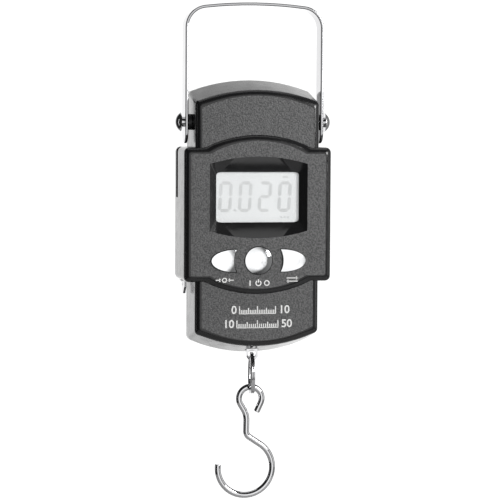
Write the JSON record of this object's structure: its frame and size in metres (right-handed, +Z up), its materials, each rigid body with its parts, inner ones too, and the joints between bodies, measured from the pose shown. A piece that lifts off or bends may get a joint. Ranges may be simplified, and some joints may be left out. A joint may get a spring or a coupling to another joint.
{
  "type": "digital fish scale",
  "caption": "Handheld hanging scale with a strap handle, push buttons, a numeric display, a pull-out measuring tape and a hook on a split ring.",
  "frame": {"origin": "grip point: the middle of the underside of the handle's top bar", "axes": "+X to the right seen from the display side, +Y to the back, +Z up along the hanging line"},
  "size_m": [0.0746, 0.0313, 0.2349],
  "materials": {
    "housing_plastic": "black ABS, fine spark-eroded texture on the faces and gloss on the sides",
    "lens_plastic": "clear acrylic",
    "lcd_glass": "pale grey liquid crystal display",
    "light_plastic": "milky diffuser",
    "white_plastic": "moulded",
    "contact_rubber": "layered conductive rubber",
    "board_laminate": "green solder mask",
    "black_resin": "potting resin",
    "part_ceramic": "small electronic parts",
    "switch_plastic": "moulded",
    "chrome_plastic": "bright chrome plating on plastic",
    "polished_steel": "polished stainless and nickel-plated steel",
    "plain_steel": "zinc-plated",
    "cell_aluminium": "milled",
    "gauge_film": "foil on film under clear lacquer",
    "wire_insulation": "PVC",
    "bush_plastic": "nylon",
    "battery_skin": "printed sleeve over a steel can",
    "tape_steel": "yellow lacquered spring steel"
  },
  "bodies": {
    "handle": {"handle_strap": "polished_steel"},
    "housing": {"front_shell": "housing_plastic", "back_shell": "housing_plastic", "lcd_window": "lens_plastic", "lcd_glass": "lcd_glass", "lcd_backlight": "light_plastic", "lcd_frame": "white_plastic", "lcd_contact_strip": "contact_rubber", "circuit_board": "board_laminate", "board_screws": "plain_steel", "chip_cover": "black_resin", "board_parts": "part_ceramic", "backlight_led": "light_plastic", "switch_bodies": "switch_plastic", "load_cell": "cell_aluminium", "strain_gauges": "gauge_film", "gauge_wires": "wire_insulation", "battery_wires": "wire_insulation", "cross_bar": "plain_steel", "pivot_screws": "polished_steel", "pivot_bushes": "bush_plastic", "hook_lug": "polished_steel", "lug_pin": "plain_steel", "batteries": "battery_skin", "contact_springs": "plain_steel", "contact_plates": "plain_steel", "housing_screws": "plain_steel", "tape_spring": "plain_steel", "tape_plate": "plain_steel", "tape_plate_screw": "plain_steel"},
    "tare": {"tare_button": "chrome_plastic", "tare_plunger": "switch_plastic"},
    "power": {"power_button": "chrome_plastic", "power_plunger": "switch_plastic"},
    "unit": {"unit_button": "chrome_plastic", "unit_plunger": "switch_plastic"},
    "cover": {"battery_cover": "housing_plastic"},
    "reel": {"tape_reel": "white_plastic", "tape_coil": "tape_steel"},
    "tape": {"tape_blade": "tape_steel", "tape_tab": "polished_steel", "tape_rivets": "plain_steel"},
    "ring": {"split_ring": "polished_steel"},
    "hook": {"hook": "polished_steel"}
  },
  "joints": [
    {"name": "handle_fold", "type": "hinge", "parent": "handle", "child": "housing", "pos_m": [0, 0, -0.0545], "axis": [1, 0, 0], "range_deg": [-110, 110]},
    {"name": "tare_press", "type": "slide", "parent": "housing", "child": "tare", "axis": [0, 1, 0], "range_m": [0, 0.0005], "stiffness_N_per_m": 2000, "springref_m": -0.0005},
    {"name": "power_press", "type": "slide", "parent": "housing", "child": "power", "axis": [0, 1, 0], "range_m": [0, 0.0005], "stiffness_N_per_m": 2000, "springref_m": -0.0005},
    {"name": "unit_press", "type": "slide", "parent": "housing", "child": "unit", "axis": [0, 1, 0], "range_m": [0, 0.0005], "stiffness_N_per_m": 2000, "springref_m": -0.0005},
    {"name": "cover_lift", "type": "slide", "parent": "housing", "child": "cover", "axis": [0, 1, 0], "range_m": [0, 0.012]},
    {"name": "reel_spin", "type": "hinge", "parent": "housing", "child": "reel", "pos_m": [-0.022, 0.007, -0.0795], "axis": [0, -1, 0], "range_deg": [0, 270]},
    {"name": "tape_pull", "type": "slide", "parent": "housing", "child": "tape", "axis": [0, 0, -1], "range_m": [0, 0.045], "stiffness_N_per_m": 20, "springref_m": -0.05},
    {"name": "ring_swing", "type": "hinge", "parent": "housing", "child": "ring", "pos_m": [0, 0, -0.1643], "axis": [0.9903, -0.1392, 0], "range_deg": [-25, 10]},
    {"name": "hook_swing", "type": "hinge", "parent": "ring", "child": "hook", "pos_m": [-0.0006, 0, -0.18557], "axis": [0, 1, 0], "range_deg": [-60, 60]}
  ],
  "couplings": [
    {"joint": "reel_spin", "follows": "tape_pull", "rad_per_m": 104.6}
  ]
}
